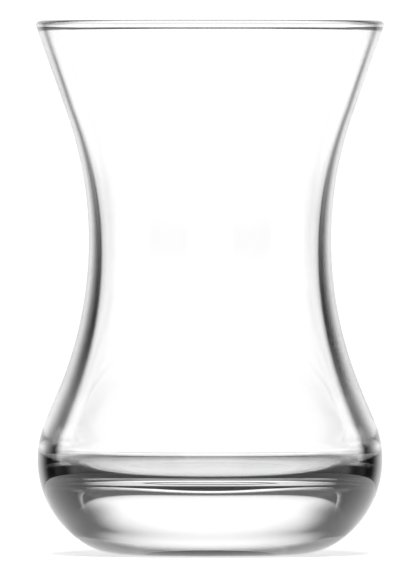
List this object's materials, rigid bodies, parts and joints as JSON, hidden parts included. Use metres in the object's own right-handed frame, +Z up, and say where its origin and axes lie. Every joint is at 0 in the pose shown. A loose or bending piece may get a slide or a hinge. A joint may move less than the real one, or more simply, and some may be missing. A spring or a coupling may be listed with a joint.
{
  "type": "tea glass",
  "caption": "Clear glass for hot tea: a waisted tulip shape with a flared mouth, a round belly and a thick solid base, empty and without a handle.",
  "frame": {"origin": "middle of the foot, on the surface that the glass stands on", "axes": "+Z up along the glass's axis, from the foot to the mouth; X and Y are alike, as the glass is round"},
  "size_m": [0.0588, 0.0588, 0.09],
  "materials": {
    "clear_glass": "polished, clear and colourless"
  },
  "bodies": {
    "root": {"glass": "clear_glass"}
  },
  "joints": []
}
